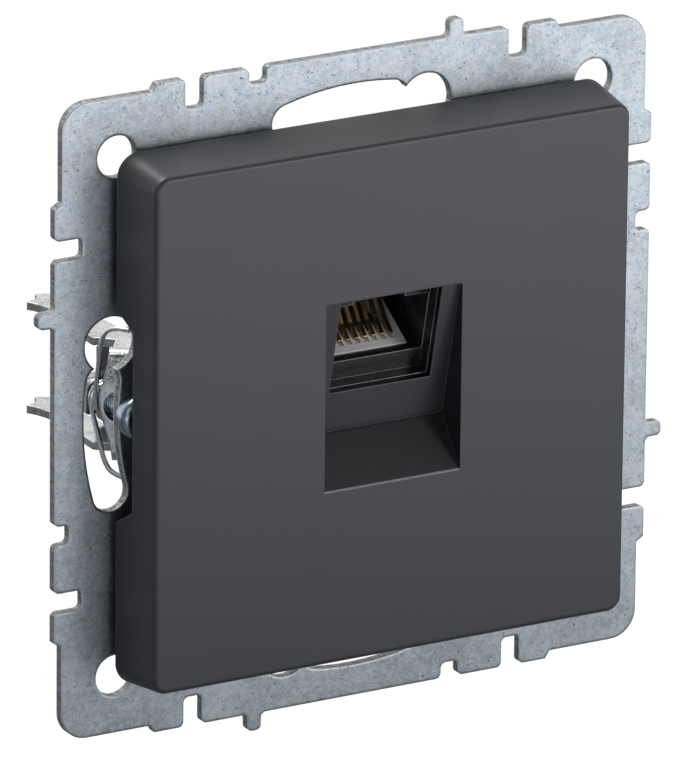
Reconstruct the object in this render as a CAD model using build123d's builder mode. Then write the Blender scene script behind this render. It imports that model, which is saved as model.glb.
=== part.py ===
from build123d import *
import os
from math import atan, cos, degrees, radians, sin, tan

# Flush mounted network socket. Millimetres, +X right, +Z up, the front faces -Y.
# The origin is the plate's centre in the wall plane: y = 0 is the plate's back face.

os.makedirs("parts", exist_ok=True)

# Mounting plate: every side has the same outline, turned by a quarter
plate_thickness = 1.0
side_level = 35.4
corner_level = 34.57
pin_level = 37.3
deep_notch_level = 32.15
small_notch_level = 33.7
step_foot = 24.1
step_top = 23.55
deep_notch_left = -20.3
deep_notch_right = 17.95
deep_notch_width = 2.15
small_notch_left = -12.85
small_notch_width = 2.05
pin_left = 10.85
pin_width = 1.65
plate_corner_radius = 3.0
notch_radius = 0.6
corner_hole_place = 28.25
corner_hole_radius = 2.25
box_screw_radius = 30.0
keyhole_slot_width = 4.0
keyhole_circle_radius = 3.0
keyhole_circle_angle = 15.66
keyhole_end_angle = 7.7
opening_side = 40.4
opening_corner_radius = 2.2

# Cover
cover_front_side = 56.0
cover_back_side = 57.8
cover_front_y = -9.1
cover_back_y = -2.3
cover_back_radius = 2.5
cover_wall = 1.5
cover_panel = 1.6
cover_edge_radius = 0.6
port_width = 16.2
port_bottom = -9.1
port_top = 11.4
port_corner_radius = 0.7
pocket_wall = 0.8
fold_y = -5.16
fold_z = -3.98
side_cut_bottom = -10.85
side_cut_top = 12.26
side_cut_slope = 1.75
side_cut_depth = 2.85
leg_x = 13.0
leg_z = 15.2
leg_width = 6.0
leg_thickness = 1.5
leg_hook = 0.8
leg_hook_length = 1.6

# Jack, in its own tilted frame: x across, u up the tilted wall, depth inwards
jack_tilt = 12.73
window_width = 12.04
window_bottom = 4.74
mouth_front = 0.9
mouth_width = 12.1
mouth_bottom = 4.78
mouth_top = 15.9
face_depth = 2.3
plug_width = 11.9
plug_bottom = 6.95
plug_top = 13.6
latch_width = 6.1
latch_top = 15.3
housing_width = 14.8
housing_bottom = 3.2
housing_top = 17.0
housing_back = 20.0
housing_corner = 0.5
collar_margin = 0.8
collar_front = 1.6
collar_thickness = 1.2
collar_room = 4.0
snap_size = 0.5
snap_length = 1.6
snap_height = 6.0
slide_gap = 0.12

# White contact carrier and the eight spring contacts
contact_count = 8
contact_pitch = 1.016
contact_width = 0.46
contact_thickness = 0.28
ramp_front = 3.5
ramp_front_edge = 0.15
ramp_angle = 19.4
ramp_end = 9.66
ramp_width = 9.6
ridge_end = 6.4
void_width = 8.12
comb_slot_width = 0.66
comb_slot_front = 4.4
comb_slot_floor = 0.38
rear_block_front = 12.5
rear_block_back = 19.2
contact_tip = (4.82, 7.68)
contact_knee = (6.48, 8.61)
contact_rise = (7.85, 9.94)
upper_row = 12.4
lower_row = 9.9
row_step = (16.4, 17.8)
contact_bend_radius = 0.7
tail_recess = 0.1

# Circuit board and punch-down blocks
board_thickness = 1.6
board_width = 16.2
board_middle = 10.1
board_end_margin = 0.4
board_corner_radius = 0.8
board_hole_radius = 0.36
peg_radius = 0.6
peg_x = 6.68
peg_u = (6.7, 13.5)
block_width = 3.9
block_x = 5.95
block_end_wall = 0.65
block_length = 7.0
wire_slot_width = 1.1
wire_slot_depth = 5.2
wire_slot_pitch = 3.4
blade_pocket_width = 2.9
blade_pocket_thickness = 0.75
blade_width = 2.6
blade_thickness = 0.5
blade_end_cover = 1.0
blade_fork = 0.4
blade_fork_depth = 3.2
blade_tail_width = 0.5

# Carrier
carrier_gap = 0.2
carrier_wall = 1.6
carrier_deck_front = -2.5
carrier_deck_back = -1.0
carrier_back = 6.0
carrier_flange_thickness = 1.6
carrier_flange_width = 43.6
carrier_flange_height = 46.0
carrier_flange_radius = 2.5
sleeve_wall = 1.4
sleeve_back = 12.2
bore_overrun = 4.0
rib_thickness = 1.2
rib_x = 13.9
rib_z = (-13.6, -8.0)
plate_hook = 0.8
plate_hook_width = 7.0
plate_hook_x = 12.0
plate_hook_gap = 0.08
lug_side = 23.8
lug_height = 9.8
lug_front = 2.4
lug_back = 11.5
lug_inner = 17.0
lug_corner_radius = 0.8
leg_gap = 0.2

# Claws, screws, nuts and springs
claw_sheet = 0.9
claw_height = 12.3
claw_bend_radius = 0.4
claw_angle = 33.0
claw_nose_radius = 0.3
claw_nose_gap = 0.05
claw_pivot_x = -23.8
claw_slot_height = 3.3
claw_slot_margin = 0.1
claw_slot_rim = 0.52
web_bulge_z = 0.5
web_edge_bottom = -3.7
web_edge_top = -4.0
arm_length = 17.6
arm_reach = -14.2
arm_inboard_root = (-0.2, 1.6)
arm_inboard_bend = (-1.0, 4.0)
arm_inboard_radius = 6.0
arm_tip_inboard = -11.4
tip_corner = (-13.2, 17.4)
tip_hollow = (-12.95, 16.0)
tooth_point = (-13.8, 14.7)
arm_neck = (-11.4, 13.1)
arm_waist = (-8.2, 8.0)
arm_shoulder = (-5.9, 3.85)
spring_notch = (-3.6, 3.5)
screw_x = -25.9
screw_radius = 1.25
screw_length = 12.5
screw_hole_gap = 0.15
screw_end_chamfer = 0.35
head_radius = 2.45
head_height = 1.9
head_edge_radius = 0.9
recess_width = 0.75
recess_span = 2.8
recess_depth = 1.1
recess_draft = 10
nut_side = 4.0
nut_thickness = 1.6
nut_chamfer = 0.3
nut_thread_gap = 0.05
nut_gap = 0.15
spring_wire = 0.55
spring_radius = 1.62
spring_pitch = 0.6
spring_turns = 2
spring_front = 4.65
spring_lead = 1.2
spring_bend_radius = 0.6
spring_plate_gap = 0.1
upper_hook = (-26.0, 8.75)
upper_arm = [(-27.2, 2.3, 8.65), (-27.75, 3.2, 7.3), (-27.6, 4.1, 3.2)]
lower_arm = [(-27.45, 4.4, -3.4), (-27.1, 3.3, -6.9), (-26.2, 2.1, -7.7)]
lower_hook = (-24.9, -7.9)

# Derived frames
opening_half = opening_side / 2
carrier_half = opening_half - carrier_gap
tilt = radians(jack_tilt)
up = Vector(0, -sin(tilt), cos(tilt))
inward = Vector(0, cos(tilt), sin(tilt))
fold = Vector(0, fold_y, fold_z)


def facing(y):
    """Sketch plane at this y: local x is X, local y is Z, extrusion goes towards the front."""
    return Plane.XZ.offset(-y)


def jack_face(depth):
    """Sketch plane square to the plug's way: local x is X, local y runs up the tilted wall."""
    return Plane(origin=fold + inward * depth, x_dir=(1, 0, 0), z_dir=inward * -1)


def jack_side(x=0):
    """Side view of the jack: local x is the depth, local y runs up the tilted wall."""
    return Plane(origin=fold + Vector(x, 0, 0), x_dir=inward, z_dir=(1, 0, 0))


def span(width, low, high):
    """Rectangle of this width between two levels of the current sketch."""
    with Locations((0, (low + high) / 2)):
        return Rectangle(width, high - low)


def finish(part, name):
    part.label = name
    export_step(part, f"parts/{name}.step")


# Mounting plate: one side's outline, walked clockwise as seen from the front
side_features = [
    (deep_notch_left, deep_notch_width, deep_notch_level),
    (small_notch_left, small_notch_width, small_notch_level),
    (pin_left, pin_width, pin_level),
    (deep_notch_right, deep_notch_width, deep_notch_level),
]
side_points = [(-step_foot, corner_level), (-step_top, side_level)]
for left, width, level in side_features:
    side_points += [(left, side_level), (left, level), (left + width, level), (left + width, side_level)]
side_points += [
    (step_top, side_level),
    (step_foot, corner_level),
    (corner_level, corner_level),
]
outline_points = []
for quarter in range(4):
    for x, z in side_points:
        outline_points.append(Vector(x, z).rotate(Axis.Z, -90 * quarter))

with BuildPart() as mounting_plate:
    with BuildSketch(facing(0)) as plate_face:
        with BuildLine():
            Polyline(outline_points, close=True)
        make_face()
        corners = plate_face.vertices().filter_by(lambda v: abs(abs(v.X) - abs(v.Y)) < 0.01)
        fillet(corners, plate_corner_radius)
        steps = plate_face.vertices().filter_by(lambda v: max(abs(v.X), abs(v.Y)) < pin_level + 0.1)
        steps = steps.filter_by(lambda v: min(abs(v.X), abs(v.Y)) < step_top - 0.5)
        fillet(steps, notch_radius)
        RectangleRounded(opening_side, opening_side, opening_corner_radius, mode=Mode.SUBTRACT)
        with GridLocations(2 * corner_hole_place, 2 * corner_hole_place, 2, 2):
            Circle(corner_hole_radius, mode=Mode.SUBTRACT)
        with Locations((screw_x, 0), (-screw_x, 0)):
            Circle(screw_radius + screw_hole_gap, mode=Mode.SUBTRACT)
        for quarter in range(4):
            circle_angle = 90 * quarter - keyhole_circle_angle
            arc = CenterArc((0, 0), box_screw_radius, circle_angle, keyhole_circle_angle + keyhole_end_angle)
            SlotArc(arc, keyhole_slot_width, mode=Mode.SUBTRACT)
            with PolarLocations(box_screw_radius, 1, start_angle=circle_angle):
                Circle(keyhole_circle_radius, mode=Mode.SUBTRACT)
    extrude(amount=plate_thickness)
finish(mounting_plate.part, "mounting_plate")

# Cover: drafted cap with a slanted pocket behind the port
cover_depth = cover_back_y - cover_front_y
cover_draft = degrees(atan((cover_back_side - cover_front_side) / 2 / cover_depth))
inner_depth = cover_depth - cover_panel
inner_side = cover_back_side - 2 * cover_wall
pocket_top_y = fold_y - (port_top - fold_z) * tan(tilt)
leg_end = carrier_deck_back + carrier_gap / 2 + leg_hook_length

with BuildPart() as cover:
    with BuildSketch(facing(cover_back_y)):
        RectangleRounded(cover_back_side, cover_back_side, cover_back_radius)
    extrude(amount=cover_depth, taper=cover_draft)
    fillet(cover.faces().sort_by(Axis.Y)[0].edges(), cover_edge_radius)
    with BuildSketch(facing(cover_back_y)):
        RectangleRounded(inner_side, inner_side, cover_back_radius - cover_wall)
    extrude(amount=inner_depth, taper=cover_draft, mode=Mode.SUBTRACT)
    # pocket walls, then the pocket itself
    with BuildSketch(Plane.YZ):
        with BuildLine():
            Polyline(
                (cover_front_y + 0.2, port_top + pocket_wall),
                (pocket_top_y + pocket_wall, port_top + pocket_wall),
                (fold_y + pocket_wall, fold_z),
                (fold_y + pocket_wall, fold_z - pocket_wall),
                (cover_front_y + 0.2, port_bottom - pocket_wall),
                close=True,
            )
        make_face()
    extrude(amount=port_width / 2 + pocket_wall, both=True)
    with BuildSketch(Plane.YZ):
        with BuildLine():
            Polyline(
                (cover_front_y, port_top),
                (pocket_top_y, port_top),
                (fold_y, fold_z),
                (cover_front_y, port_bottom),
                close=True,
            )
        make_face()
    extrude(amount=port_width / 2, both=True, mode=Mode.SUBTRACT)
    port_edges = cover.edges().filter_by(Axis.Y).filter_by(
        lambda e: abs(abs(e.center().X) - port_width / 2) < 0.01 and e.center().Z > 0
    )
    fillet(port_edges, port_corner_radius / 2)
    # window for the plug in the tilted back wall
    with BuildSketch(jack_face(mouth_front)):
        span(window_width, window_bottom, (port_top - fold_z) / cos(tilt))
    extrude(amount=mouth_front + 0.1, mode=Mode.SUBTRACT)
    # room for the jack's mouth and collar behind the panel
    with BuildSketch(jack_face(collar_front + collar_room)):
        span(
            housing_width + 2 * collar_margin + 0.4,
            housing_bottom - collar_margin - 0.2,
            housing_top + collar_margin + 0.2,
        )
    extrude(amount=collar_front + collar_room - mouth_front + 0.1, mode=Mode.SUBTRACT)
    # side cut-outs over the claw screws
    with BuildSketch(Plane.YZ):
        with BuildLine():
            Polyline(
                (cover_back_y, side_cut_bottom),
                (cover_back_y - side_cut_depth, side_cut_bottom + side_cut_slope),
                (cover_back_y - side_cut_depth, side_cut_top - side_cut_slope),
                (cover_back_y, side_cut_top),
                close=True,
            )
        make_face()
    extrude(amount=cover_back_side, both=True, mode=Mode.SUBTRACT)
    # latch legs that hook behind the carrier's deck
    for side in (-1, 1):
        for level in (-1, 1):
            with BuildSketch(Plane.YZ.offset(side * leg_x)):
                with BuildLine():
                    Polyline(
                        (cover_front_y + cover_panel, level * leg_z),
                        (leg_end, level * leg_z),
                        (leg_end, level * (leg_z + leg_thickness)),
                        (leg_end - leg_hook_length, level * (leg_z + leg_thickness + leg_hook)),
                        (leg_end - leg_hook_length, level * (leg_z + leg_thickness)),
                        (cover_front_y + cover_panel, level * (leg_z + leg_thickness)),
                        close=True,
                    )
                make_face()
            extrude(amount=leg_width / 2, both=True)
finish(cover.part, "cover")

# Jack housing: a through tube with a mouth, a collar and two snaps
housing_middle = (housing_bottom + housing_top) / 2
housing_height = housing_top - housing_bottom
sleeve_front = collar_front + collar_thickness
board_back = housing_back + board_thickness

with BuildPart() as jack_housing:
    with BuildSketch(jack_face(housing_back)):
        with Locations((0, housing_middle)):
            RectangleRounded(housing_width, housing_height, housing_corner)
    extrude(amount=housing_back - mouth_front)
    with BuildSketch(jack_face(sleeve_front)):
        with Locations((0, housing_middle)):
            collar_size = (housing_width + 2 * collar_margin, housing_height + 2 * collar_margin)
            RectangleRounded(*collar_size, housing_corner)
    extrude(amount=collar_thickness)
    for side in (-1, 1):
        with BuildSketch(jack_face(sleeve_back + slide_gap + snap_length)):
            with Locations((side * housing_width / 2, housing_middle)):
                Rectangle(2 * snap_size, snap_height)
        extrude(amount=snap_length)
    with BuildSketch(jack_face(face_depth)):
        span(mouth_width, mouth_bottom, mouth_top)
    extrude(amount=face_depth - mouth_front, mode=Mode.SUBTRACT)
    with BuildSketch(jack_face(housing_back)):
        span(plug_width, plug_bottom, plug_top)
        span(latch_width, plug_top, latch_top)
    extrude(amount=housing_back - face_depth, mode=Mode.SUBTRACT)
    with BuildSketch(jack_face(board_back - tail_recess)):
        for level in peg_u:
            with Locations((peg_x, level), (-peg_x, level)):
                Circle(peg_radius)
    extrude(amount=board_thickness - tail_recess)
finish(jack_housing.part, "jack_housing")

# White contact carrier: side rails, a comb at the front and a grooved block at the rear
contact_places = [(i - (contact_count - 1) / 2) * contact_pitch for i in range(contact_count)]
ramp_low = plug_bottom + ramp_front_edge
ramp_high = ramp_low + (ramp_end - ramp_front) * tan(radians(ramp_angle))
block_top = plug_top - slide_gap
groove_floor = upper_row - contact_thickness / 2 - 0.1
lower_groove_floor = lower_row - contact_thickness / 2 - 0.1

with BuildPart() as contact_carrier:
    with BuildSketch(jack_side()):
        with BuildLine():
            Polyline(
                (ramp_front, plug_bottom),
                (ramp_front, ramp_low),
                (ramp_end, ramp_high),
                (rear_block_front, ramp_high),
                (rear_block_front, plug_bottom),
                close=True,
            )
        make_face()
    extrude(amount=ramp_width / 2, both=True)
    with BuildSketch(jack_side()):
        with BuildLine():
            Polyline(
                (ridge_end, plug_bottom),
                (ridge_end, ramp_high + 1),
                (rear_block_front, ramp_high + 1),
                (rear_block_front, plug_bottom),
                close=True,
            )
        make_face()
    extrude(amount=void_width / 2, both=True, mode=Mode.SUBTRACT)
    with BuildSketch(jack_face(rear_block_back)):
        span(plug_width - 2 * slide_gap, plug_bottom, block_top)
    extrude(amount=rear_block_back - rear_block_front)
    for number, place in enumerate(contact_places):
        with BuildSketch(jack_face(ridge_end)):
            with Locations((place, 0)):
                span(comb_slot_width, plug_bottom + comb_slot_floor, ramp_high)
        extrude(amount=ridge_end - comb_slot_front, mode=Mode.SUBTRACT)
        with BuildSketch(jack_face(rear_block_back)):
            with Locations((place, 0)):
                span(comb_slot_width, groove_floor, block_top)
        extrude(amount=rear_block_back - rear_block_front, mode=Mode.SUBTRACT)
        if number % 2:
            with BuildSketch(jack_face(rear_block_back)):
                with Locations((place, 0)):
                    span(comb_slot_width, lower_groove_floor, block_top)
            extrude(amount=rear_block_back - row_step[0] + 0.6, mode=Mode.SUBTRACT)
finish(contact_carrier.part, "contact_carrier")

# Spring contacts: sprung front, then back to one of two rows on the board
rise_slope = (contact_rise[1] - contact_knee[1]) / (contact_rise[0] - contact_knee[0])
upper_start = contact_rise[0] + (upper_row - contact_rise[1]) / rise_slope
tail_end = board_back - tail_recess

for number, place in enumerate(contact_places):
    route = [contact_tip, contact_knee, (upper_start, upper_row)]
    if number % 2:
        route += [(row_step[0], upper_row), (row_step[1], lower_row), (tail_end, lower_row)]
    else:
        route += [(tail_end, upper_row)]
    with BuildPart() as contact:
        with BuildSketch(jack_side(place)):
            with BuildLine() as path:
                FilletPolyline(*route, radius=contact_bend_radius)
            trace(path.line, contact_thickness)
        extrude(amount=contact_width / 2, both=True)
    finish(contact.part, f"contact_{number + 1}")

# Punch-down positions: four on each side of the board
block_height = (contact_count // 2 - 1) * wire_slot_pitch + blade_pocket_width + 2 * block_end_wall
slot_levels = [board_middle + (i - 1.5) * wire_slot_pitch for i in range(contact_count // 2)]
blade_places = [(side * block_x, level) for side in (-1, 1) for level in slot_levels]

with BuildPart() as circuit_board:
    with BuildSketch(jack_face(board_back)):
        with Locations((0, board_middle)):
            RectangleRounded(board_width, block_height + 2 * board_end_margin, board_corner_radius)
        for number, place in enumerate(contact_places):
            with Locations((place, lower_row if number % 2 else upper_row)):
                Circle(board_hole_radius, mode=Mode.SUBTRACT)
        with Locations(*blade_places):
            Circle(board_hole_radius, mode=Mode.SUBTRACT)
        for level in peg_u:
            with Locations((peg_x, level), (-peg_x, level)):
                Circle(peg_radius + slide_gap, mode=Mode.SUBTRACT)
    extrude(amount=board_thickness)
finish(circuit_board.part, "circuit_board")

block_back = board_back + block_length
for side, name in ((-1, "idc_block_left"), (1, "idc_block_right")):
    with BuildPart() as idc_block:
        with BuildSketch(jack_face(block_back)):
            with Locations((side * block_x, board_middle)):
                Rectangle(block_width, block_height)
        extrude(amount=block_length)
        with BuildSketch(jack_face(block_back)):
            for level in slot_levels:
                with Locations((side * block_x, level)):
                    Rectangle(block_width, wire_slot_width)
        extrude(amount=wire_slot_depth, mode=Mode.SUBTRACT)
        with BuildSketch(jack_face(block_back)):
            for level in slot_levels:
                with Locations((side * block_x, level)):
                    Rectangle(blade_pocket_thickness, blade_pocket_width)
        extrude(amount=block_length, mode=Mode.SUBTRACT)
        ends = idc_block.faces().sort_by(Axis.Y)[-1].edges().filter_by(Axis.X)
        chamfer(ends, (blade_pocket_width - wire_slot_width) / 6)
    finish(idc_block.part, name)

blade_front = board_back + slide_gap
blade_back = block_back - blade_end_cover
for number, (x, level) in enumerate(blade_places):
    with BuildPart() as blade:
        with BuildSketch(jack_side(x)):
            with Locations(((blade_front + blade_back) / 2, level)):
                Rectangle(blade_back - blade_front, blade_width)
            with Locations((blade_back - blade_fork_depth / 2, level)):
                Rectangle(blade_fork_depth, blade_fork, mode=Mode.SUBTRACT)
            with Locations(((blade_front + housing_back + tail_recess) / 2, level)):
                Rectangle(blade_front - housing_back - tail_recess, blade_tail_width)
        extrude(amount=blade_thickness / 2, both=True)
    finish(blade.part, f"idc_contact_{number + 1}")

# Carrier: deck, walls and flange round the plate's opening, a sleeve for the jack, lugs for the claws
with BuildPart() as carrier:
    with BuildSketch(facing(carrier_back)):
        RectangleRounded(2 * carrier_half, 2 * carrier_half, opening_corner_radius)
    extrude(amount=carrier_back - carrier_deck_front)
    with BuildSketch(facing(carrier_flange_thickness)):
        RectangleRounded(carrier_flange_width, carrier_flange_height, carrier_flange_radius)
    extrude(amount=carrier_flange_thickness)
    inside = 2 * (carrier_half - carrier_wall)
    with BuildSketch(facing(carrier_back)):
        Rectangle(inside, inside)
    extrude(amount=carrier_back - carrier_deck_back, mode=Mode.SUBTRACT)
    # ribs
    with BuildSketch(facing(carrier_back - 1)):
        with Locations((rib_x, 0), (-rib_x, 0)):
            Rectangle(rib_thickness, inside)
        for level in rib_z:
            with Locations((0, level)):
                Rectangle(2 * rib_x, rib_thickness)
    extrude(amount=carrier_back - 1 - carrier_deck_back)
    # lugs between the claws' arms
    for side in (-1, 1):
        with BuildSketch(facing(lug_back)):
            with Locations((side * (lug_side + lug_inner) / 2, 0)):
                RectangleRounded(lug_side - lug_inner, lug_height, lug_corner_radius)
        extrude(amount=lug_back - lug_front)
    # sleeve
    sleeve_bore = (housing_width + 2 * slide_gap, housing_height + 2 * slide_gap)
    with BuildSketch(jack_face(sleeve_back)):
        with Locations((0, housing_middle)):
            Rectangle(sleeve_bore[0] + 2 * sleeve_wall, sleeve_bore[1] + 2 * sleeve_wall)
    extrude(amount=sleeve_back - sleeve_front)
    with BuildSketch(jack_face(sleeve_back + bore_overrun)):
        with Locations((0, housing_middle)):
            Rectangle(*sleeve_bore)
    extrude(amount=sleeve_back + 2 * bore_overrun, mode=Mode.SUBTRACT)
    # slots for the cover's latch legs: through the deck, and wider behind it for the hooks
    slot_low = leg_z - leg_hook - leg_gap
    slot_high = leg_z + leg_thickness + leg_gap
    for front, high in ((carrier_deck_front, slot_high), (carrier_deck_back, slot_high + leg_hook)):
        with BuildSketch(facing(carrier_back)):
            with GridLocations(2 * leg_x, slot_low + high, 2, 2):
                Rectangle(leg_width + 2 * leg_gap, high - slot_low)
        extrude(amount=carrier_back - front, mode=Mode.SUBTRACT)
    # hooks over the plate's front
    hook_back = -plate_thickness - plate_hook_gap
    for side in (-1, 1):
        for level in (-1, 1):
            with BuildSketch(Plane.YZ.offset(side * plate_hook_x)):
                with BuildLine():
                    Polyline(
                        (hook_back, level * (carrier_half - 0.5)),
                        (hook_back, level * (opening_half + plate_hook)),
                        (carrier_deck_front, level * carrier_half),
                        (carrier_deck_front, level * (carrier_half - 0.5)),
                        close=True,
                    )
                make_face()
            extrude(amount=plate_hook_width / 2, both=True)
finish(carrier.part, "carrier")

# Claw frame at rest: s runs along the web towards the nose, d runs back, square to the web
turn = radians(claw_angle)
along = Vector(cos(turn), -sin(turn), 0)
back = Vector(sin(turn), cos(turn), 0)
pivot = Vector(claw_pivot_x, claw_nose_radius + claw_nose_gap, 0)
web_front = -claw_nose_radius
web_back = web_front + claw_sheet

# The slot clears the screw with the claw at rest and with its web flat on the plate
reach = claw_pivot_x - screw_x
slanted_radius = screw_radius / cos(turn)
rest_place_front = -(reach + web_front * sin(turn)) / cos(turn)
rest_place_back = -(reach + web_back * sin(turn)) / cos(turn)
slot_left = rest_place_back - slanted_radius - claw_slot_margin
slot_right = max(screw_radius - reach, rest_place_front + slanted_radius) + claw_slot_margin


def claw_plan(z=0):
    """Claw seen from above: local x is s, local y is d."""
    return Plane(origin=pivot + Vector(0, 0, z), x_dir=along, z_dir=(0, 0, 1))


def claw_face(depth):
    """Claw seen from the front: local x is s, local y is Z, extrusion goes towards the front."""
    return Plane(origin=pivot + back * depth, x_dir=along, z_dir=back * -1)


def claw_section(s):
    """Across the claw's web: local x is d, local y is Z."""
    return Plane(origin=pivot + along * s, x_dir=back, z_dir=along)


def turned_over(piece):
    """The same piece on the other side of the socket, turned half a turn about Y."""
    return piece.rotate(Axis.Y, 180)


web_edge = slot_left - claw_slot_rim
arm_height = claw_height - 2 * claw_sheet
with BuildPart() as claw_left:
    # bent sheet: a web with two arms
    with BuildSketch(claw_section(arm_reach)):
        with Locations(((web_front + 2 * arm_length) / 2, 0)):
            outside = (2 * arm_length - web_front, claw_height)
            RectangleRounded(*outside, claw_bend_radius + claw_sheet)
        with Locations(((web_back + 2 * arm_length) / 2, 0)):
            hollow = (2 * arm_length - web_back, arm_height)
            RectangleRounded(*hollow, claw_bend_radius, mode=Mode.SUBTRACT)
    extrude(amount=claw_nose_radius - arm_reach)
    # outline from above: nose, inboard edge, toothed tip, outboard edge and the spring's notch
    with BuildSketch(claw_plan()) as plan:
        with BuildLine():
            Polyline(
                (web_edge, web_back + claw_bend_radius),
                (web_edge, web_front),
                (claw_nose_radius, web_front),
                (claw_nose_radius, web_back),
                arm_inboard_root,
                arm_inboard_bend,
                (arm_tip_inboard, arm_length),
            )
            Line((arm_tip_inboard, arm_length), tip_corner)
            ThreePointArc(tip_corner, tip_hollow, tooth_point)
            Spline(tooth_point, arm_neck, arm_waist, arm_shoulder)
            Polyline(
                arm_shoulder,
                spring_notch,
                (web_edge_bottom, web_back + claw_bend_radius),
                (web_edge, web_back + claw_bend_radius),
            )
        make_face()
        nose = plan.vertices().filter_by(lambda v: abs(v.X - claw_nose_radius) + abs(v.Y - web_front) < 0.01)
        fillet(nose, claw_nose_radius * 0.95)
        bend = plan.vertices().sort_by_distance((*arm_inboard_bend, 0))[0]
        fillet(bend, arm_inboard_radius)
    extrude(amount=claw_height, both=True, mode=Mode.INTERSECT)
    # curved left edge of the web
    with BuildSketch(claw_face(web_back + claw_bend_radius)):
        with BuildLine():
            edge = Spline(
                (web_edge_bottom, -claw_height / 2),
                (web_edge_bottom - 0.5, -2.9),
                (web_edge, web_bulge_z),
                (web_edge_top - 0.4, 3.6),
                (web_edge_top, claw_height / 2),
            )
            Polyline(edge @ 1, (web_edge - 1, claw_height / 2), (web_edge - 1, -claw_height / 2), edge @ 0)
        make_face()
    extrude(amount=claw_sheet + 2 * claw_bend_radius, mode=Mode.SUBTRACT)
    with BuildSketch(claw_face(web_back + 0.1)):
        with Locations(((slot_left + slot_right) / 2, 0)):
            SlotOverall(slot_right - slot_left, claw_slot_height)
    extrude(amount=claw_sheet + 0.2, mode=Mode.SUBTRACT)
finish(claw_left.part, "claw_left")
finish(turned_over(claw_left.part), "claw_right")

# Claw screw: head on the plate's front, shank through the plate and the claw's slot
head_front = -plate_thickness - head_height
screw_axis = Axis((screw_x, 0, 0), (0, 1, 0))
with BuildPart() as claw_screw_left:
    with BuildSketch(Plane((screw_x, 0, 0))) as half_screw:
        with BuildLine():
            Polyline(
                (0, head_front),
                (head_radius, head_front),
                (head_radius, -plate_thickness),
                (screw_radius, -plate_thickness),
                (screw_radius, screw_length - plate_thickness - screw_end_chamfer),
                (screw_radius - screw_end_chamfer, screw_length - plate_thickness),
                (0, screw_length - plate_thickness),
                close=True,
            )
        make_face()
        rim = half_screw.vertices().sort_by_distance((head_radius, head_front, 0))[0]
        fillet(rim, head_edge_radius)
    revolve(axis=screw_axis)
    with BuildSketch(facing(head_front)):
        with Locations((screw_x, 0)):
            Rectangle(recess_span, recess_width)
            Rectangle(recess_width, recess_span)
    extrude(amount=-recess_depth, taper=recess_draft, mode=Mode.SUBTRACT)
finish(claw_screw_left.part, "claw_screw_left")
finish(turned_over(claw_screw_left.part), "claw_screw_right")

# Spring: two turns round the screw, an arm up and an arm down, their ends hooked to the plate's back
coil_length = spring_pitch * spring_turns
coil_side = screw_x - spring_radius
spring_back = spring_front + coil_length
hook_y = spring_wire / 2 + spring_plate_gap
with BuildPart() as claw_spring_left:
    with BuildLine() as wire_path:
        whole = Helix(
            spring_pitch,
            coil_length,
            spring_radius,
            center=(screw_x, spring_front, 0),
            direction=(0, 1, 0),
            lefthand=True,
            mode=Mode.PRIVATE,
        )
        coil = add(whole.rotate(screw_axis, -90))
        start = Vector(coil_side, spring_front, 0)
        end = Vector(coil_side, spring_back, 0)
        run = (whole % 0).rotate(Axis.Y, -90) * spring_lead
        hook_above = (upper_hook[0], hook_y, upper_hook[1])
        hook_below = (lower_hook[0], hook_y, lower_hook[1])
        FilletPolyline(hook_above, *upper_arm, start - run, start, radius=spring_bend_radius)
        FilletPolyline(end, end + run, *lower_arm, hook_below, radius=spring_bend_radius)
    with BuildSketch(Plane(origin=wire_path.wires()[0] @ 0, z_dir=wire_path.wires()[0] % 0)):
        Circle(spring_wire / 2)
    sweep(path=wire_path.wires()[0])
finish(claw_spring_left.part, "claw_spring_left")
finish(turned_over(claw_spring_left.part), "claw_spring_right")

# Nut behind the coil, one flat beside the carrier's lug
nut_front = spring_back + spring_wire / 2 + nut_gap
with BuildPart() as claw_nut_left:
    with BuildSketch(facing(nut_front + nut_thickness)) as nut_face:
        with Locations((screw_x, 0)):
            Rectangle(nut_side, nut_side)
        chamfer(nut_face.vertices(), nut_chamfer)
        with Locations((screw_x, 0)):
            Circle(screw_radius + nut_thread_gap, mode=Mode.SUBTRACT)
    extrude(amount=nut_thickness)
finish(claw_nut_left.part, "claw_nut_left")
finish(turned_over(claw_nut_left.part), "claw_nut_right")
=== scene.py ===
import math

import bmesh
import bpy
import numpy as np
from mathutils import Matrix, Vector


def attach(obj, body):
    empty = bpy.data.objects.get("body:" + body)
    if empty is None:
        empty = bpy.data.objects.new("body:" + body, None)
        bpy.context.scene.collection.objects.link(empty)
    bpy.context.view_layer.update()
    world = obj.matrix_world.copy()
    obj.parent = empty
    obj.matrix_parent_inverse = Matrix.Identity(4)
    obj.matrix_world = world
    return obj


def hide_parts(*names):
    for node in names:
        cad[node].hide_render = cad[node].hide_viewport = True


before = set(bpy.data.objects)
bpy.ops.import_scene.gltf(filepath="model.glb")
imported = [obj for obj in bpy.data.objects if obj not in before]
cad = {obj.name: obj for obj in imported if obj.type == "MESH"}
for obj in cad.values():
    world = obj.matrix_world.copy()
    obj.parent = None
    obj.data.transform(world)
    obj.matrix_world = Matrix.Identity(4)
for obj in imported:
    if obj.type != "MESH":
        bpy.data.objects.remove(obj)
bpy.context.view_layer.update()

print("frame loaded,", len(cad), "nodes")


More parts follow.
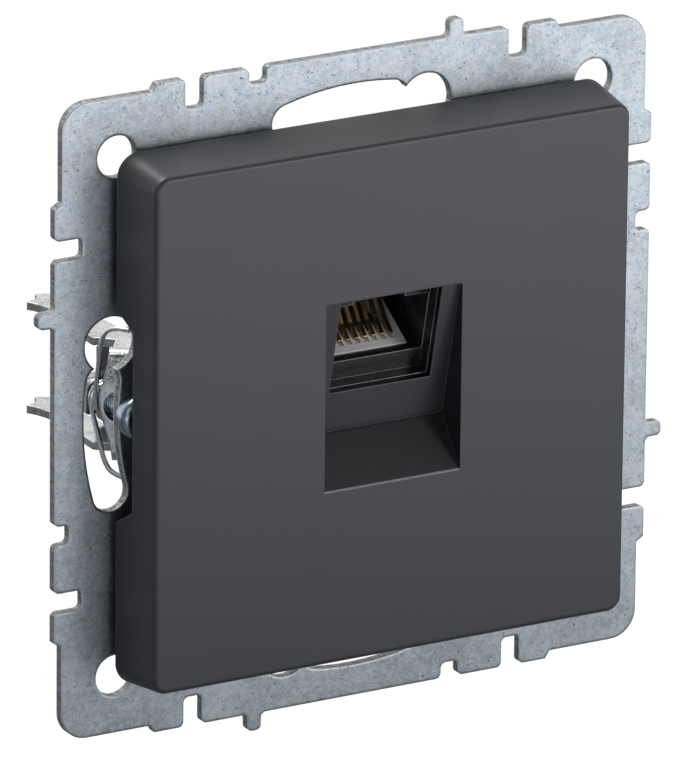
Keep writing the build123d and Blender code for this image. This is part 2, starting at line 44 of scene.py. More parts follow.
class Wire:
    # one output socket: sums and products of wires become Math nodes, so a pattern reads as a formula
    def __init__(self, tree, socket=None):
        self.tree = tree
        self.socket = socket

    def node(self, kind, settings=None, inputs=None, out=0):
        # any node: its settings first, then a value or a wire for each input, by name or by place
        made = self.tree.nodes.new(kind)
        for key, value in (settings or {}).items():
            setattr(made, key, value)
        for key, value in (inputs or {}).items():
            if isinstance(value, Wire):
                self.tree.links.new(value.socket, made.inputs[key])
            else:
                made.inputs[key].default_value = value
        return Wire(self.tree, made.outputs[out] if made.outputs else None)

    def maths(self, operation, *values):
        # the wire's own value comes first where only others are given
        values = values or (self,)
        return self.node("ShaderNodeMath", {"operation": operation}, dict(enumerate(values)))

    def __add__(self, other):
        return self.maths("ADD", self, other)

    def __sub__(self, other):
        return self.maths("SUBTRACT", self, other)

    def __rsub__(self, other):
        return self.maths("SUBTRACT", other, self)

    def __mul__(self, other):
        return self.maths("MULTIPLY", self, other)

    def __truediv__(self, other):
        return self.maths("DIVIDE", self, other)

    def __rtruediv__(self, other):
        return self.maths("DIVIDE", other, self)

    def __gt__(self, other):
        return self.maths("GREATER_THAN", self, other)

    def __lt__(self, other):
        return self.maths("LESS_THAN", self, other)

    def __abs__(self):
        return self.maths("ABSOLUTE", self)

    __radd__ = __add__
    __rmul__ = __mul__


def millimetres(start):
    # the point's place on the piece, in millimetres
    place = start.node("ShaderNodeTexCoord", out=3)
    return start.node("ShaderNodeVectorMath", {"operation": "SCALE"}, {0: place, 3: 1000.0})


def stretched(place, factors):
    # a pattern read here is drawn out along the axes with small factors
    return place.node("ShaderNodeVectorMath", {"operation": "MULTIPLY"}, {0: place, 1: factors})


def axisOf(place, axis):
    return place.node("ShaderNodeSeparateXYZ", None, {0: place}, out="XYZ".index(axis))


def dotProduct(first, second):
    return first.node("ShaderNodeVectorMath", {"operation": "DOT_PRODUCT"}, {0: first, 1: second}, out=1)


def cloud(place, perMillimetre, detail, rough, twist=0.0):
    # noise from 0 to 1, so many waves to the millimetre
    sizes = {"Scale": perMillimetre, "Detail": detail, "Roughness": rough, "Distortion": twist}
    return place.node("ShaderNodeTexNoise", None, {"Vector": place, **sizes})


def ease(value, low, high):
    # 0 below low, 1 above high, a smooth step between; low above high turns it round
    sizes = {"Value": value, "From Min": low, "From Max": high}
    return value.node("ShaderNodeMapRange", {"interpolation_type": "SMOOTHSTEP"}, sizes)


def between(factor, first, second):
    # the first colour where the factor is 0, the second where it is 1
    ends = {place: end if isinstance(end, Wire) else (*end, 1) for place, end in ((6, first), (7, second))}
    return factor.node("ShaderNodeMix", {"data_type": "RGBA"}, {0: factor, **ends}, out=2)


def tinted(colour, tint):
    # the two colours multiplied
    settings = {"data_type": "RGBA", "blend_type": "MULTIPLY"}
    return colour.node("ShaderNodeMix", settings, {0: 1.0, 6: colour, 7: tint}, out=2)


def greyOf(value, tint=(1, 1, 1)):
    # a number as a light colour of that strength
    channels = {place: value * share for place, share in enumerate(tint)}
    return value.node("ShaderNodeCombineColor", None, channels)


def roundedEdge(start, radius):
    # the normal as if every edge had this radius in millimetres, and how far it leans from the flat one
    soft = start.node("ShaderNodeBevel", {"samples": 8}, {"Radius": radius / 1000})
    flat = start.node("ShaderNodeNewGeometry", out=1)
    return soft, 1 - dotProduct(soft, flat)


def bumped(height, normal, depth):
    # depth is the height of the relief in millimetres
    sizes = {"Distance": depth / 1000, "Strength": 1.0}
    return height.node("ShaderNodeBump", None, {"Height": height, "Normal": normal, **sizes})


def material(name, recipe, look):
    made = bpy.data.materials.new(name)
    made.use_nodes = True
    made.node_tree.nodes.clear()
    start = Wire(made.node_tree)
    shader = start.node("ShaderNodeBsdfPrincipled", None, recipe(start, look))
    start.node("ShaderNodeOutputMaterial", None, {"Surface": shader})
    return made


def sheetMetal(start, look):
    # zinc coated or bare sheet: patches within clouds, dark flecks and hairs, and bright edges, partly rubbed
    # and mostly a painted highlight
    place = millimetres(start)
    soft, edge = roundedEdge(start, look["edge"])
    flat = start.node("ShaderNodeNewGeometry", out=1)
    wide = cloud(place, look["cloud"], 3, 0.55)
    patch = cloud(place, look["patch"], 4, 0.7, 0.6)
    fine = cloud(place, look["patch"] * look["fineScale"], 3, 0.7)
    wideShare, patchShare, fineShare = look["mottleShares"]
    mottle = ease(wide * wideShare + patch * patchShare + fine * fineShare, *look["mottleBand"])
    flecks = ease(cloud(stretched(place, look["fleck"]), 1.0, 3, 0.65), *look["fleckBand"])
    hairs = ease(cloud(stretched(place, look["hair"]), 1.0, 2, 0.5), *look["hairBand"])
    drift = ease(cloud(place, look["patch"] * look["tintScale"], 2, 0.5), *look["tintBand"])
    colour = tinted(between(mottle, look["dark"], look["light"]), between(drift, look["warm"], look["cool"]))
    colour = between(flecks * look["fleckShare"], colour, look["fleckColour"])
    colour = between(hairs * look["hairShare"], colour, look["hairColour"])
    rough = look["rough"] + patch * look["roughSpread"] + flecks * look["fleckRough"]
    relief = fine * look["reliefShares"][0] + patch * look["reliefShares"][1]
    if "clawPlace" in look:
        # the rough patch struck beside the web's upper bend
        # the right claw stands upside down, so sideways times height is alike on both
        height = axisOf(place, "X") * axisOf(place, "Z") / look["clawPlace"]
        struck = ease(height, *look["struckBottom"]) * ease(height, *look["struckTop"])
        struck = struck * ease(axisOf(place, "Y"), *look["struckBack"])
        pits = cloud(place, look["pits"], 3, 0.7)
        pitted = struck * ease(pits, *look["pitBand"]) * look["pitShare"]
        colour = between(pitted, colour, look["fleckColour"])
        relief = relief + struck * pits * look["pitDepth"]
    if "ridges" in look:
        # grey ridged sides, where the sheet was sheared: the normal lies well away from Y there
        side = ease(abs(axisOf(flat, "Y")), *look["sideBand"])
        ridges = cloud(stretched(place, look["ridges"]), 1.0, 3, 0.6)
        sheared = between(ease(ridges, *look["ridgeBand"]), look["shearDark"], look["shearLight"])
        colour = between(side, colour, sheared)
        rough = rough + side * look["shearRough"]
        relief = relief + side * ridges * look["ridgeDepth"]
    # the lighter edges: a painted highlight along the rounded edges, with some rubbing
    colour = between(ease(edge, *look["edgeBand"]) * look["edgeShare"], colour, look["edgeColour"])
    return {
        "Base Color": colour,
        "Metallic": 1.0,
        "Roughness": rough,
        "Normal": bumped(relief, soft, look["relief"]),
    }


def portShade(place, grain, colour, look):
    # painted shade round the jack, where a dark gap would be, by how deep a point lies
    # behind the port's tilted wall, and a painted highlight along the lower lip
    foldY, foldZ = look["fold"]
    sideways = abs(axisOf(place, "X"))
    forward = axisOf(place, "Y")
    height = axisOf(place, "Z")
    depth = (forward - foldY) * math.cos(look["tilt"]) + (height - foldZ) * math.sin(look["tilt"])
    # the window's walls get painted shade
    gapShade = ease(depth, *look["gapShadeBand"]) * (height < look["gapShadeTop"]) * (sideways < look["gapShadeHalfWidth"])
    colour = between(gapShade, colour, look["gapShadeColour"])
    # a painted highlight along the port's lower front edge, broken up by the grain
    lipHighlight = (forward > look["lipFront"]) * (forward < look["lipBack"]) * (sideways < look["lipHalfWidth"])
    lipHighlight = lipHighlight * (height > look["lipBottom"]) * (height < look["lipTop"])
    return between(lipHighlight * ease(grain, *look["lipBand"]), colour, look["lipHighlightColour"])


def boardTracks(place, colour, look):
    # copper tracks under the lacquer, one to each contact's row
    sideways = axisOf(place, "X")
    across = (sideways / look["trackStep"] + 0.5).maths("FRACT")
    track = ease(abs(across - 0.5), *look["trackBand"]) * (abs(sideways) < look["trackHalfWidth"])
    return between(track * look["trackShare"], colour, look["edgeColour"])


def mouldedPlastic(start, look):
    # moulded plastic: an even colour with faint flow clouds, fine grain, and lighter outer edges, partly
    # rubbed and mostly a painted highlight
    place = millimetres(start)
    soft, edge = roundedEdge(start, look["edge"])
    flow = cloud(place, look["flow"], 2, 0.5)
    grain = cloud(place, look["grain"], 2, 0.6)
    dust = ease(cloud(place, look["dust"], 1, 0.5), *look["dustBand"])
    colour = between(flow, look["dark"], look["light"])
    colour = between(dust * look["dustShare"], colour, look["dustColour"])
    # inner corners are left out of the lighter edges, a painted highlight with some rubbing: they see less of
    # the open
    reach = {"Distance": look["openReach"] / 1000}
    free = start.node("ShaderNodeAmbientOcclusion", {"samples": 4}, reach, out=1)
    wornEdgeAndHighlight = ease(edge, *look["edgeBand"]) * ease(free, *look["openBand"])
    colour = between(wornEdgeAndHighlight * look["edgeShare"], colour, look["edgeColour"])
    if "fold" in look:
        colour = portShade(place, grain, colour, look)
    if "trackStep" in look:
        colour = boardTracks(place, colour, look)
    return {
        "Base Color": colour,
        "Metallic": 0.0,
        "Roughness": look["rough"] + grain * look["roughSpread"] + flow * look["flowRough"],
        "IOR": look["ior"],
        "Normal": bumped(grain, soft, look["relief"]),
    }


def smoothMetal(start, look):
    # plated, drawn or turned metal: bright, with faint draw lines and small stains
    place = millimetres(start)
    soft, edge = roundedEdge(start, look["edge"])
    lines = cloud(stretched(place, look["lines"]), 1.0, 3, 0.6)
    stains = ease(cloud(place, look["stain"], 3, 0.6), *look["stainBand"])
    colour = between(lines, look["dark"], look["light"])
    colour = between(stains * look["stainShare"], colour, look["stainColour"])
    return {
        "Base Color": colour,
        "Metallic": 1.0,
        "Roughness": look["rough"] + lines * look["roughSpread"] + stains * look["stainRough"],
        "Normal": bumped(lines, soft, look["relief"]),
    }


# In these looks a length is in millimetres and a pattern's scale in waves a millimetre.
# A band is the two values between which a mask goes from 0 to 1, and a share is how strong it then is.
sheetLook = {
    "fineScale": 5,  # times the patch's scale
    "mottleShares": (0.25, 0.40, 0.35),  # wide, patch and fine clouds
    "mottleBand": (0.40, 0.60),
    "tintScale": 0.6,
    "tintBand": (0.35, 0.65),
    "fleck": (2.4, 2.4, 3.0),
    "fleckBand": (0.63, 0.69),
    "fleckRough": 0.15,
    "fleckColour": (0.09, 0.09, 0.09),
    "hair": (0.25, 1, 3.2),
    "hairBand": (0.66, 0.72),
    "hairColour": (0.22, 0.22, 0.23),
    "warm": (1.0, 0.99, 0.95),
    "cool": (0.93, 0.98, 1.0),
    "reliefShares": (0.35, 0.65),  # fine and patch clouds
    "edgeBand": (0.02, 0.25),
}
plateLook = {
    **sheetLook,
    "edge": 0.45,
    "cloud": 0.10,
    "patch": 1.5,
    "fleckShare": 0.8,
    "hairShare": 0.22,
    "dark": (0.31, 0.33, 0.345),
    "light": (0.50, 0.53, 0.555),
    "rough": 0.34,
    "roughSpread": 0.24,
    "relief": 0.028,
    "sideBand": (0.75, 0.45),
    "ridges": (7, 0.6, 7),
    "ridgeBand": (0.3, 0.7),
    "ridgeDepth": 3,
    "shearDark": (0.09, 0.09, 0.09),
    "shearLight": (0.36, 0.36, 0.355),
    "shearRough": 0.10,
    "edgeShare": 0.7,
    "edgeColour": (0.90, 0.92, 0.95),
}
clawLook = {
    **sheetLook,
    "edge": 0.26,
    "cloud": 0.4,
    "patch": 2.2,
    "fleckShare": 0.25,
    "hairShare": 0.12,
    "dark": (0.36, 0.36, 0.36),
    "light": (0.66, 0.66, 0.65),
    "rough": 0.14,
    "roughSpread": 0.14,
    "relief": 0.010,
    "clawPlace": -25,  # where the left claw's web stands
    "struckBottom": (2.7, 3.5),
    "struckTop": (5.9, 5.5),
    "struckBack": (3.4, 2.6),
    "pits": 4.5,
    "pitBand": (0.42, 0.62),
    "pitShare": 0.8,
    "pitDepth": 6,
    "edgeShare": 0.55,
    "edgeColour": (0.92, 0.92, 0.91),
}
plasticLook = {
    "edge": 0.20,
    "edgeBand": (0.02, 0.12),
    "flow": 0.08,
    "flowRough": 0.05,
    "grain": 6.0,
    "dust": 2.2,
    "dustBand": (0.80, 0.84),
    "dustShare": 0.12,
    "dustColour": (0.20, 0.20, 0.21),
    "openReach": 0.5,
    "openBand": (0.70, 0.92),
    "rough": 0.40,
    "roughSpread": 0.10,
    "ior": 1.65,
    "relief": 0.006,
}
# the port's tilted wall, which also carries the board: where it folds out of the front, and its angle
portWall = {"fold": (-5.16, -3.98), "tilt": math.radians(12.73)}
coverLook = {
    **plasticLook,
    **portWall,
    "dark": (0.0095, 0.0095, 0.0130),
    "light": (0.0125, 0.0125, 0.0165),
    "edgeShare": 0.6,
    "edgeColour": (0.13, 0.13, 0.145),
    # painted shade on the window's walls round the jack
    "gapShadeBand": (0.12, 0.22),
    "gapShadeTop": 13,
    "gapShadeHalfWidth": 6.3,
    "gapShadeColour": (0.001, 0.001, 0.001),
    # a painted highlight along the lower lip
    "lipFront": -9.095,
    "lipBack": -8.97,
    "lipTop": -8.7,
    "lipBottom": -9.3,
    "lipHalfWidth": 8.1,
    "lipBand": (0.2, 0.6),
    "lipHighlightColour": (0.30, 0.31, 0.33),
}
jackLook = {
    **plasticLook,
    "edge": 0.16,
    "openReach": 0.1,
    "dark": (0.012, 0.012, 0.013),
    "light": (0.018, 0.018, 0.020),
    "rough": 0.20,
    "roughSpread": 0.08,
    "ior": 1.5,
    "relief": 0.002,
    # the bright rim lines are a painted highlight on the jack's edges
    "edgeShare": 1.0,
    "edgeColour": (0.34, 0.36, 0.38),
    "dustShare": 0.05,
}
carrierLook = {
    **jackLook,
    "edge": 0.22,
    "openReach": 0.3,
    "dark": (0.008, 0.010, 0.011),
    "light": (0.014, 0.018, 0.020),
    "rough": 0.18,
    "edgeShare": 0.5,
    "edgeColour": (0.05, 0.056, 0.06),
}
combLook = {
    **plasticLook,
    "edge": 0.10,
    "dark": (0.84, 0.84, 0.83),
    "light": (0.90, 0.90, 0.89),
    "edgeShare": 0.0,
    "edgeColour": (0.90, 0.90, 0.89),
    "dustShare": 0.0,
    "rough": 0.38,
    "relief": 0.003,
}
blockLook = {
    **combLook,
    "edge": 0.15,
    "dark": (0.66, 0.65, 0.61),
    "light": (0.72, 0.71, 0.67),
    "rough": 0.42,
}
boardLook = {
    **plasticLook,
    "edge": 0.08,
    "dark": (0.015, 0.10, 0.045),
    "light": (0.025, 0.14, 0.06),
    "trackStep": 1.016,
    "trackBand": (0.36, 0.42),
    "trackHalfWidth": 4.3,
    "trackShare": 0.6,
    "edgeShare": 0.2,
    "edgeColour": (0.30, 0.34, 0.22),
    "dustShare": 0.0,
    "rough": 0.28,
    "relief": 0.004,
}
contactLook = {
    "edge": 0.08,
    "lines": (4, 0.25, 0.25),
    "stain": 1.6,
    "stainBand": (0.50, 0.66),
    "stainShare": 0.55,
    "stainRough": 0.08,
    "stainColour": (0.30, 0.17, 0.06),
    "dark": (0.56, 0.36, 0.12),
    "light": (0.84, 0.60, 0.24),
    "rough": 0.24,
    "roughSpread": 0.10,
    "relief": 0.001,
}
bladeLook = {
    **contactLook,
    "dark": (0.60, 0.59, 0.55),
    "light": (0.78, 0.77, 0.73),
    "stainShare": 0.15,
    "stainColour": (0.4, 0.38, 0.33),
}
screwLook = {
    **contactLook,
    "edge": 0.15,
    "lines": (4, 0.3, 4),
    "stain": 1.2,
    "stainShare": 0.35,
    "stainColour": (0.30, 0.36, 0.42),
    "dark": (0.24, 0.31, 0.36),
    "light": (0.40, 0.48, 0.54),
    "rough": 0.22,
}
nutLook = {
    **screwLook,
    "dark": (0.58, 0.60, 0.60),
    "light": (0.74, 0.75, 0.75),
    "stainColour": (0.4, 0.38, 0.34),
}
springLook = {
    **contactLook,
    "edge": 0.05,
    "lines": (6, 6, 0.4),
    "stainShare": 0.3,
    "stainColour": (0.16, 0.15, 0.14),
    "dark": (0.50, 0.50, 0.51),
    "light": (0.76, 0.77, 0.78),
    "rough": 0.24,
}

finishes = {
    "mounting_plate": material("zincPlate", sheetMetal, plateLook),
    "cover": material("coverPlastic", mouldedPlastic, coverLook),
    "carrier": material("carrierPlastic", mouldedPlastic, carrierLook),
    "jack_housing": material("jackPlastic", mouldedPlastic, jackLook),
    "contact_carrier": material("combPlastic", mouldedPlastic, combLook),
    "circuit_board": material("boardLaminate", mouldedPlastic, boardLook),
    "idc_block": material("blockPlastic", mouldedPlastic, blockLook),
    "idc_contact": material("tinnedBlade", smoothMetal, bladeLook),
    "contact": material("giltContact", smoothMetal, contactLook),
    "claw_screw": material("screwSteel", smoothMetal, screwLook),
    "claw_spring": material("springSteel", smoothMetal, springLook),
    "claw_nut": material("nutSteel", smoothMetal, nutLook),
    "claw": material("clawSteel", sheetMetal, clawLook),
}
for nodeName, nodeObject in cad.items():
    family = nodeName if nodeName in finishes else nodeName.rsplit("_", 1)[0]
    nodeObject.data.materials.clear()
    nodeObject.data.materials.append(finishes[family])
print("finishes ready")


def gridOf(points):
    # points along and across, in millimetres, and the quads between them, closed round the across way
    along, across = points.shape[:2]
    places = np.arange(along * across).reshape(along, across)
    places = np.concatenate([places, places[:, :1]], axis=1)
    quads = np.stack([places[:-1, :-1], places[:-1, 1:], places[1:, 1:], places[1:, :-1]], axis=-1)
    return points.reshape(-1, 3), quads.reshape(-1, 4)


def pieceFrom(name, parts, finish, body, replaced=()):
    # one object from several grids: doubles are merged, faces turned outwards and shaded smooth
    starts = np.cumsum([0] + [len(grid[0]) for grid in parts])
    points = np.concatenate([grid[0] for grid in parts]) / 1000
    quads = np.concatenate([grid[1] + start for grid, start in zip(parts, starts)])
    mesh = bpy.data.meshes.new(name)
    mesh.from_pydata(points.tolist(), [], quads.tolist())
    work = bmesh.new()
    work.from_mesh(mesh)
    bmesh.ops.remove_doubles(work, verts=work.verts, dist=1e-6)
    bmesh.ops.dissolve_degenerate(work, edges=work.edges, dist=1e-7)
    bmesh.ops.recalc_face_normals(work, faces=work.faces)
    work.to_mesh(mesh)
    work.free()
    mesh.shade_smooth()
    made = bpy.data.objects.new(name, mesh)
    bpy.context.scene.collection.objects.link(made)
    made.data.materials.append(finish)
    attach(made, body)
    if replaced:
        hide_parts(*replaced)


def turnedOver(parts):
    # the same grids turned half a turn about Y, for the socket's other side
    return [(points * (-1, 1, -1), quads) for points, quads in parts]


screw = {
    "x": -25.9,
    "crest": 1.25,
    "threadDepth": 0.26,
    "pitch": 0.45,
    "under": -1.0,
    "end": 11.5,
    "threadStart": -0.55,
    "threadEnd": 11.62,
    "fadeIn": 0.4,
    "fadeOut": 0.3,
    "toothSlope": 2.5,
    "toothCrest": 0.15,
    "endTaper": 0.35,
    "headRadius": 2.45,
    "headFront": -2.9,
    "headFillet": 0.9,
    "headEdge": 0.1,
    "headRings": 36,
    "recessWidth": 0.75,
    "recessSpan": 2.8,
    "recessDepth": 1.1,
    "recessSlope": 5,
    "recessRim": 0.3,
    "around": 48,
    "perPitch": 9,
}


def screwParts(look):
    # shank: radius = crest - depth * tooth(y / pitch + angle / turn), a triangle wave with flat crests
    # head: a profile turned about the axis, its front sunk by the depth of a tapered cross
    angle = np.linspace(0, 2 * np.pi, look["around"], endpoint=False)
    rows = int((look["end"] - look["under"]) / look["pitch"] * look["perPitch"])
    y = np.linspace(look["under"], look["end"], rows)[:, None]
    phase = (y / look["pitch"] + angle / (2 * np.pi)) % 1
    tooth = np.clip(np.abs(phase - 0.5) * look["toothSlope"] - look["toothCrest"], 0, 1)
    fade = np.clip((y - look["threadStart"]) / look["fadeIn"], 0, 1)
    fade = fade * np.clip((look["threadEnd"] - y) / look["fadeOut"], 0, 1)
    taper = np.clip(y - look["end"] + look["endTaper"], 0, 1)
    radius = look["crest"] - look["threadDepth"] * tooth * fade - taper
    shank = np.stack([look["x"] + radius * np.cos(angle), y + 0 * radius, radius * np.sin(angle)], axis=-1)
    endRing = shank[-1:]
    endCap = endRing + ([look["x"], look["end"], 0] - endRing) * np.linspace(0, 1, 4)[:, None, None]

    corner = np.linspace(0, np.pi / 2, 10)
    rim = look["headRadius"] - look["headFillet"]
    profileR = np.concatenate([[look["crest"], look["headRadius"] - look["headEdge"], look["headRadius"]],
                               rim + look["headFillet"] * np.cos(corner),
                               np.linspace(rim, 0, look["headRings"])[1:]])
    profileY = np.concatenate([[look["under"], look["under"], look["under"] - look["headEdge"]],
                               look["headFront"] + look["headFillet"] * (1 - np.sin(corner)),
                               np.full(look["headRings"] - 1, look["headFront"])])
    fineAngle = np.linspace(0, 2 * np.pi, look["around"] * 2, endpoint=False)
    x = profileR[:, None] * np.cos(fineAngle)
    z = profileR[:, None] * np.sin(fineAngle)
    half, reach, depth = look["recessWidth"] / 2, look["recessSpan"] / 2, look["recessDepth"]
    wallA = np.minimum(half - np.abs(x), reach - np.abs(z))
    wallB = np.minimum(half - np.abs(z), reach - np.abs(x))
    inside = np.maximum(wallA, wallB) * look["recessSlope"] + look["recessRim"]
    sunk = np.clip(inside, 0, 1) * depth * (profileY[:, None] < look["headFront"] + 0.01)
    head = np.stack([look["x"] + x, profileY[:, None] + sunk, z], axis=-1)
    return [gridOf(shank), gridOf(endCap), gridOf(head)]


spring = {
    "wire": 0.275,
    "radius": 1.62,
    "pitch": 0.6,
    "turns": 2,
    "perTurn": 44,
    "front": 4.65,
    "axisX": -25.9,
    "lead": 1.2,
    "upper": [(-26.0, 0.375, 8.75), (-27.2, 2.3, 8.65), (-27.75, 3.2, 7.3), (-27.6, 4.1, 3.2)],
    "lower": [(-27.45, 4.4, -3.4), (-27.1, 3.3, -6.9), (-26.2, 2.1, -7.7), (-24.9, 0.375, -7.9)],
    "step": 0.14,
    "sides": 14,
    "endBulge": 0.35,
}


def softened(route):
    # corner cutting: each run keeps its middle half, three times over, and the ends stay
    for cut in range(3):
        early = route[:-1] * 0.75 + route[1:] * 0.25
        late = route[:-1] * 0.25 + route[1:] * 0.75
        inner = np.stack([early, late], axis=1).reshape(-1, 3)[1:-1]
        route = np.concatenate([route[:1], inner, route[-1:]])
    return route


def evenly(route, step):
    # the same route with its points this far apart
    lengths = np.r_[0, np.cumsum(np.linalg.norm(np.diff(route, axis=0), axis=1))]
    wanted = np.linspace(0, lengths[-1], int(lengths[-1] / step) + 1)
    return np.stack([np.interp(wanted, lengths, route[:, axis]) for axis in range(3)], axis=1)


def tubeParts(route, radius, sides, endBulge):
    # a circle carried along the route without twist, and closed by a bulge at both ends:
    # each ring's frame is the last one's, turned by the least angle
    tangents = np.gradient(route, axis=0)
    tangents /= np.linalg.norm(tangents, axis=1)[:, None]
    side = np.cross(tangents[0], (0.3, 0.2, 0.9))
    sideways = np.empty_like(route)
    for place, tangent in enumerate(tangents):
        side = side - tangent * (side @ tangent)
        side = side / np.linalg.norm(side)
        sideways[place] = side
    upright = np.cross(tangents, sideways)
    angle = np.linspace(0, 2 * np.pi, sides, endpoint=False)[None, :, None]
    ring = np.cos(angle) * sideways[:, None] + np.sin(angle) * upright[:, None]
    rounding = np.linspace(0, np.pi / 2, 4)[1:, None, None]
    bulge = radius * endBulge * np.sin(rounding)
    closing = radius * np.cos(rounding)
    first = route[0] - tangents[0] * bulge[::-1] + ring[0] * closing[::-1]
    last = route[-1] + tangents[-1] * bulge + ring[-1] * closing
    return [gridOf(np.concatenate([first, route[:, None] + ring * radius, last]))]


def springParts(look):
    # a helix round the screw, with a rounded arm at each end:
    # x = axis - radius * cos(turn), z = -radius * sin(turn), y = front + pitch * turns
    turnAngle = np.linspace(0, 2 * np.pi * look["turns"], look["perTurn"] * look["turns"])
    coil = np.stack([look["axisX"] - look["radius"] * np.cos(turnAngle),
                     look["front"] + look["pitch"] * turnAngle / (2 * np.pi),
                     -look["radius"] * np.sin(turnAngle)], axis=1)
    into = (coil[0] - coil[1]) / np.linalg.norm(coil[0] - coil[1]) * look["lead"]
    upper = softened(np.array([*look["upper"], coil[0] + into, coil[0]]))
    lower = softened(np.array([coil[-1], coil[-1] - into * (1, -1, 1), *look["lower"]]))
    route = evenly(np.concatenate([upper[:-1], coil, lower[1:]]), look["step"])
    return tubeParts(route, look["wire"], look["sides"], look["endBulge"])


for hand in ("left", "right"):
    screwGrids = screwParts(screw)
    springGrids = springParts(spring)
    if hand == "right":
        screwGrids, springGrids = turnedOver(screwGrids), turnedOver(springGrids)
    pieceFrom(f"threadedScrew_{hand}", screwGrids, finishes["claw_screw"],
              f"claw_screw_{hand}", [f"claw_screw_{hand}"])
    pieceFrom(f"wireSpring_{hand}", springGrids, finishes["claw_spring"],
              "frame", [f"claw_spring_{hand}"])
print("screws and springs made")

solder = {
    **portWall,
    "boardBack": 21.6,
    "sunk": 0.02,
    "pitch": 1.016,
    "rows": (12.4, 9.9),
    "foot": 0.50,
    "tip": 0.17,
    "height": 0.62,
    "rounding": 1.06,
    "count": 8,
    "spread": 0.07,
    "spreadTurn": 2.4,
    "around": 20,
}


def solderParts(look):
    # a concave cone round each tail, its height share s from 0 to 1 behind the board:
    # radius = tip + (foot - tip) * (1 - s) squared, and two small rings close the tip
    foldY, foldZ = look["fold"]
    share = np.append(np.linspace(0, 1, 9), [look["rounding"]] * 2)[:, None]
    radius = look["tip"] + (look["foot"] - look["tip"]) * np.clip(1 - share, 0, 1) ** 2
    radius[-2:] = look["tip"] * np.array([[0.6], [0.0]])
    angle = np.linspace(0, 2 * np.pi, look["around"], endpoint=False)
    grids = []
    for number in range(look["count"]):
        size = 1 + look["spread"] * math.sin(number * look["spreadTurn"])
        sideways = (number - (look["count"] - 1) / 2) * look["pitch"] + radius * size * np.cos(angle)
        upward = look["rows"][number % 2] + radius * size * np.sin(angle)
        inward = look["boardBack"] - look["sunk"] + look["height"] * size * share + 0 * upward
        y = foldY - upward * math.sin(look["tilt"]) + inward * math.cos(look["tilt"])
        z = foldZ + upward * math.cos(look["tilt"]) + inward * math.sin(look["tilt"])
        grids.append(gridOf(np.stack([sideways, y, z], axis=-1)))
    return grids


pieceFrom("solderCones", solderParts(solder), finishes["idc_contact"], "frame")
print("solder made")

# lengths and places on the stage are in metres
stageLook = {
    "floorZ": -0.060,
    "floorSize": 6.0,
    "floorColour": (0.92, 0.92, 0.92),
    "backdropShare": 0.90,
    "backdropLight": 1.06,
    # what a shiny face sees: the floor ahead on the right glows, the rest is dim
    "floorGlow": (0.35, -0.93, 0),
    "floorGlowBand": (0.01, 0.33),
    "floorBright": 2.20,
    "floorDim": 0.22,
    # a fainter glow further behind lights the back
    "behindGlowBand": (0.19, 0.46),
    "behindBright": 1.40,
    "glowColour": (0.935, 0.975, 1.06),
    # the sky is bright behind and dim ahead
    "skyBright": (0.20, 0.95, 0.20),
    "skyBand": (-0.25, 0.40),
    "skyDim": 0.08,
    "skyTop": 1.10,
    "lamps": [
        # name, place, size, power, colour
        ("topSoft", (-0.10, 0.10, 0.34), 0.16, 1.0, (1, 1, 1)),
        ("leftFront", (-0.75, -0.75, 0.45), 0.60, 0.8, (0.97, 0.98, 1)),
        ("rightFront", (0.60, -0.95, 0.21), 0.36, 3.6, (1, 1, 1)),
    ],
    "aim": (0, 0, 0),
}


def lamp(name, place, size, power, colour, aim):
    light = bpy.data.lights.new(name, "AREA")
    light.shape = "DISK"
    light.size = size
    light.energy = power
    light.color = colour
    made = bpy.data.objects.new(name, light)
    made.location = place
    made.rotation_euler = (Vector(aim) - Vector(place)).to_track_quat("-Z", "Y").to_euler()
    bpy.context.scene.collection.objects.link(made)


for lampName, place, size, power, colour in stageLook["lamps"]:
    lamp(lampName, place, size, power, colour, stageLook["aim"])

floorMesh = bpy.data.meshes.new("floor")
reach = stageLook["floorSize"] / 2
around = ((-1, -1), (1, -1), (1, 1), (-1, 1))
corners = [(x * reach, y * reach, stageLook["floorZ"]) for x, y in around]
floorMesh.from_pydata(corners, [], [(0, 1, 2, 3)])
floor = bpy.data.objects.new("floor", floorMesh)
bpy.context.scene.collection.objects.link(floor)
paper = bpy.data.materials.new("paper")
paper.use_nodes = True
paper.node_tree.nodes.clear()
start = Wire(paper.node_tree)
toCamera = start.node("ShaderNodeLightPath", out=0)
toShine = start.node("ShaderNodeLightPath", out=3)
place = start.node("ShaderNodeTexCoord", out=3)
ahead = dotProduct(place, stageLook["floorGlow"])
behind = ease(0 - ahead, *stageLook["behindGlowBand"]) * (stageLook["behindBright"] - stageLook["floorDim"])
ahead = ease(ahead, *stageLook["floorGlowBand"]) * (stageLook["floorBright"] - stageLook["floorDim"])
glow = ahead + behind + stageLook["floorDim"]
glow = greyOf(glow, stageLook["glowColour"])
# the camera sees white paper with the object's shadow, a shiny face sees the glow, all else a matt floor
matt = start.node("ShaderNodeBsdfDiffuse", None, {"Color": (*stageLook["floorColour"], 1)})
backdrop = {"Color": (1, 1, 1, 1), "Strength": stageLook["backdropLight"]}
white = start.node("ShaderNodeEmission", None, backdrop)
shine = start.node("ShaderNodeEmission", None, {"Color": glow, "Strength": 1.0})
mixed = start.node("ShaderNodeMixShader", None, {0: toCamera * stageLook["backdropShare"], 1: matt, 2: white})
mixed = start.node("ShaderNodeMixShader", None, {0: toShine, 1: mixed, 2: shine})
start.node("ShaderNodeOutputMaterial", None, {"Surface": mixed})
floorMesh.materials.append(paper)

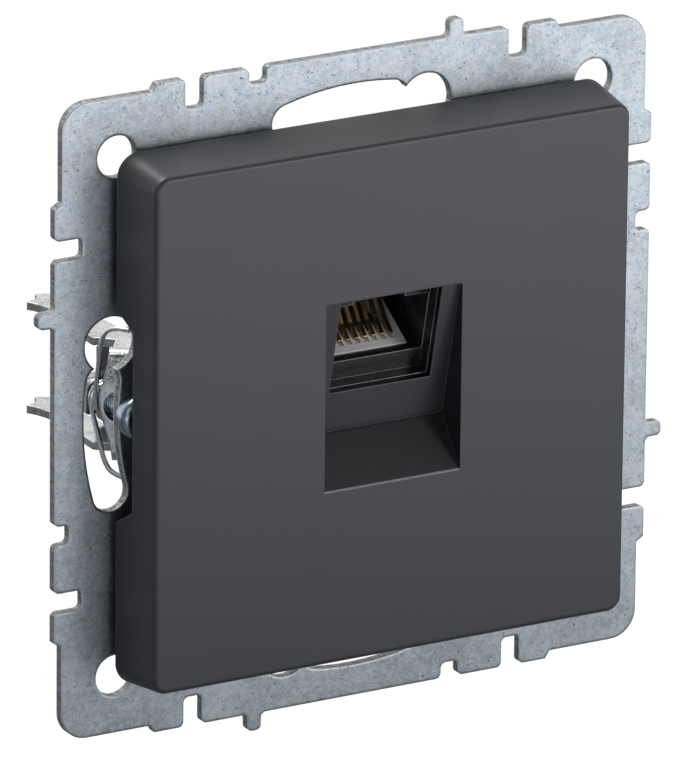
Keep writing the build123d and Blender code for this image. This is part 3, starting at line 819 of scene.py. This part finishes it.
world = bpy.data.worlds.new("studio")
bpy.context.scene.world = world
world.use_nodes = True
world.node_tree.nodes.clear()
start = Wire(world.node_tree)
# the camera sees plain white, and the object the sky's own light
toCamera = start.node("ShaderNodeLightPath", out=0)
toward = start.node("ShaderNodeTexCoord", out=0)
bright = ease(dotProduct(toward, stageLook["skyBright"]), *stageLook["skyBand"])
bright = bright * (stageLook["skyTop"] - stageLook["skyDim"]) + stageLook["skyDim"]
dim = start.node("ShaderNodeBackground", None, {"Color": greyOf(bright), "Strength": 1.0})
white = start.node("ShaderNodeBackground", None, {"Color": (1, 1, 1, 1), "Strength": 1.0})
both = start.node("ShaderNodeMixShader", None, {0: toCamera, 1: dim, 2: white})
start.node("ShaderNodeOutputWorld", None, {"Surface": both})
print("stage lit")

cameraLook = {
    "azimuth": -29.62,
    "elevation": 19.02,
    "roll": 0.60,
    "distance": 1.200,
    "sideways": -0.00063,
    "upwards": -0.00058,
    "focalPixels": 11533,
    "imageHeight": 758,
    "sensorWidth": 36,
    "clipEnd": 50,
}
azimuth, elevation, roll = (math.radians(cameraLook[key]) for key in ("azimuth", "elevation", "roll"))
level = math.cos(elevation)
outward = Vector((math.sin(azimuth) * level, -math.cos(azimuth) * level, math.sin(elevation)))
across = (-outward).cross(Vector((0, 0, 1))).normalized()
upright = across.cross(-outward)
eye = outward * cameraLook["distance"] + across * cameraLook["sideways"] + upright * cameraLook["upwards"]
right = across * math.cos(roll) + upright * math.sin(roll)
top = upright * math.cos(roll) - across * math.sin(roll)
cameraData = bpy.data.cameras.new("camera")
cameraData.sensor_width = cameraLook["sensorWidth"]
cameraData.lens = cameraLook["focalPixels"] * cameraLook["sensorWidth"] / cameraLook["imageHeight"]
cameraData.clip_end = cameraLook["clipEnd"]
camera = bpy.data.objects.new("camera", cameraData)
camera.matrix_world = Matrix.Translation(eye) @ Matrix((right, top, outward)).transposed().to_4x4()
bpy.context.scene.collection.objects.link(camera)
bpy.context.scene.camera = camera
bpy.context.scene.view_settings.view_transform = "Standard"
print("camera placed")
